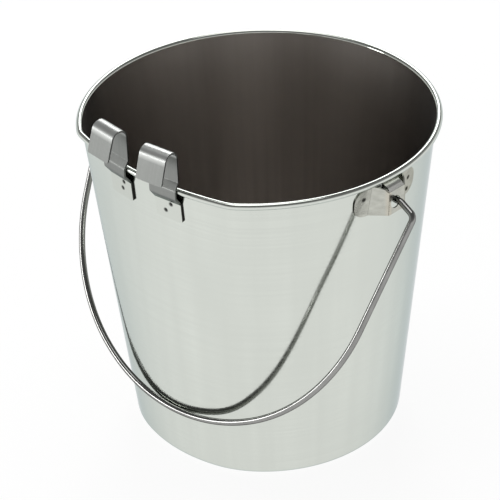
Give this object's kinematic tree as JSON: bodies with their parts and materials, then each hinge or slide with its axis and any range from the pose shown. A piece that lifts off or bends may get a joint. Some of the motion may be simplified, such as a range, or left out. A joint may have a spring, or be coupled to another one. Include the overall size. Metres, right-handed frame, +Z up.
{
  "type": "milk pail",
  "caption": "Flat-sided stainless steel milk pail with a rolled rim, strip hooks over the flat side to hang it on a rail, stamped ears and a swinging wire bail.",
  "frame": {"origin": "on the floor under the pail's axis, in the middle of its round base", "axes": "+Z up along the pail's axis; the flat side with the two hooks faces -Y; the ears and the bail's hinge line are on the X sides"},
  "size_m": [0.2946, 0.252, 0.2665],
  "materials": {
    "drawn_wall": "polished stainless steel, near mirror outside, duller and streaked inside",
    "hook_strip": "satin stainless strip",
    "ear_plate": "satin stamped stainless",
    "bail_wire": "bright drawn stainless wire"
  },
  "bodies": {
    "pail": {"pail_body": "drawn_wall", "hook_left": "hook_strip", "hook_right": "hook_strip", "ear_left": "ear_plate", "ear_right": "ear_plate"},
    "bail": {"bail": "bail_wire"}
  },
  "joints": [
    {"name": "bail_swing", "type": "hinge", "parent": "pail", "child": "bail", "pos_m": [0, -0.0035, 0.22], "axis": [-1, 0, 0], "range_deg": [0, 298.9]}
  ]
}
